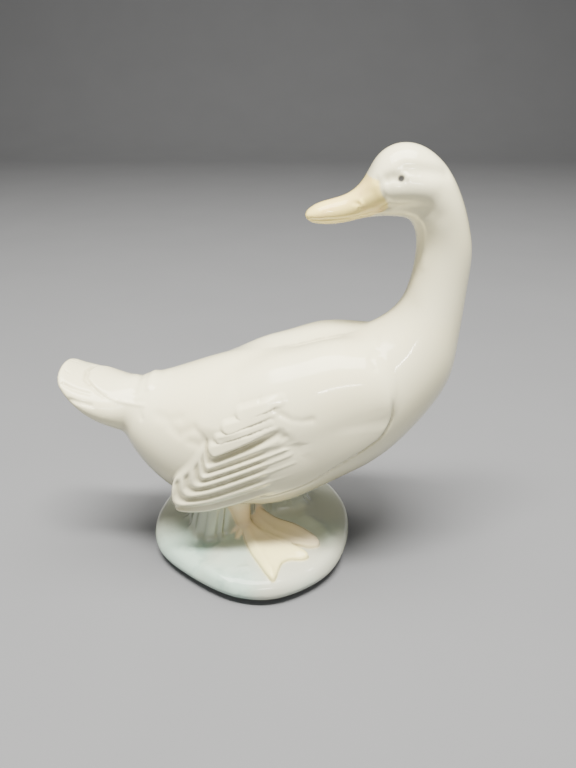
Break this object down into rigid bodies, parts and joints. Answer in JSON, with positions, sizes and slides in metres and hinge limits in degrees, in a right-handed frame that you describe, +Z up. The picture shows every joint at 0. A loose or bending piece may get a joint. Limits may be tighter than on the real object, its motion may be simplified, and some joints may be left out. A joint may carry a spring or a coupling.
{
  "type": "porcelain goose figurine",
  "caption": "Glazed porcelain figurine of a standing white goose that looks back over its tail, on an oval mound base.",
  "frame": {"origin": "middle of the figurine's length and depth, on the surface it stands on", "axes": "+Z up, +X from the tail towards the breast, +Y towards the goose's left side"},
  "size_m": [0.1498, 0.0832, 0.16],
  "materials": {
    "porcelain": "gloss"
  },
  "bodies": {
    "root": {"goose_figurine": "porcelain"}
  },
  "joints": []
}
